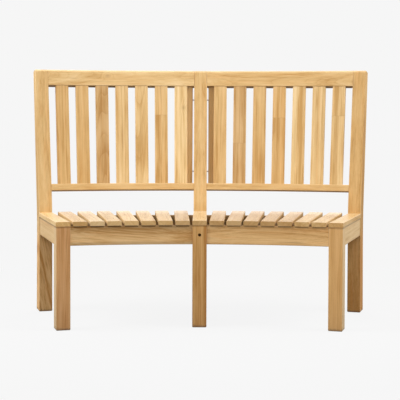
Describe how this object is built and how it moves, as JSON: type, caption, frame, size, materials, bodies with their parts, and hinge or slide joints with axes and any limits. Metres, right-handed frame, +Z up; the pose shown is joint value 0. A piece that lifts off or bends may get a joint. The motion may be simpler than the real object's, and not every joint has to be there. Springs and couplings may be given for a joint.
{
  "type": "high-back bench",
  "caption": "Bowed hardwood garden bench with a high slatted reclined back, fanned seat slats and square legs, for seating several people outdoors.",
  "frame": {"origin": "on the floor, under the middle of the bench from side to side and from front to back", "axes": "+X to the right as seen from the front, +Y from the front edge of the seat towards the back, +Z up"},
  "size_m": [1.5522, 0.7514, 1.1],
  "materials": {
    "golden_hardwood": "sanded and oiled",
    "bolt_steel": "plain stainless",
    "nut_steel": "plain stainless",
    "insert_brass": "turned"
  },
  "bodies": {
    "root": {"back_slat_1_left": "golden_hardwood", "back_slat_1_right": "golden_hardwood", "back_slat_2_left": "golden_hardwood", "back_slat_2_right": "golden_hardwood", "back_slat_3_left": "golden_hardwood", "back_slat_3_right": "golden_hardwood", "back_slat_4_left": "golden_hardwood", "back_slat_4_right": "golden_hardwood", "back_slat_5_left": "golden_hardwood", "back_slat_5_right": "golden_hardwood", "back_slat_6_left": "golden_hardwood", "back_slat_6_right": "golden_hardwood", "back_slat_7_left": "golden_hardwood", "back_slat_7_right": "golden_hardwood", "barrel_nut": "nut_steel", "front_apron_left": "golden_hardwood", "front_apron_right": "golden_hardwood", "front_leg_left": "golden_hardwood", "front_leg_middle": "golden_hardwood", "front_leg_right": "golden_hardwood", "inner_stile_left": "golden_hardwood", "inner_stile_right": "golden_hardwood", "leg_bolt": "bolt_steel", "lower_back_rail_left": "golden_hardwood", "lower_back_rail_right": "golden_hardwood", "middle_cross_rail": "golden_hardwood", "post_inserts": "insert_brass", "rear_apron_left": "golden_hardwood", "rear_apron_right": "golden_hardwood", "rear_post_left": "golden_hardwood", "rear_post_middle": "golden_hardwood", "rear_post_right": "golden_hardwood", "seat_slat_1_left": "golden_hardwood", "seat_slat_1_right": "golden_hardwood", "seat_slat_2_left": "golden_hardwood", "seat_slat_2_right": "golden_hardwood", "seat_slat_3_left": "golden_hardwood", "seat_slat_3_right": "golden_hardwood", "seat_slat_4_left": "golden_hardwood", "seat_slat_4_right": "golden_hardwood", "seat_slat_5_left": "golden_hardwood", "seat_slat_5_right": "golden_hardwood", "seat_slat_6_left": "golden_hardwood", "seat_slat_6_right": "golden_hardwood", "seat_slat_7_left": "golden_hardwood", "seat_slat_7_right": "golden_hardwood", "seat_slat_end_left": "golden_hardwood", "seat_slat_end_right": "golden_hardwood", "seat_slat_middle": "golden_hardwood", "seat_tenons": "golden_hardwood", "side_apron_left": "golden_hardwood", "side_apron_right": "golden_hardwood", "stile_bolts": "bolt_steel", "top_rail_left": "golden_hardwood", "top_rail_right": "golden_hardwood"}
  },
  "joints": []
}
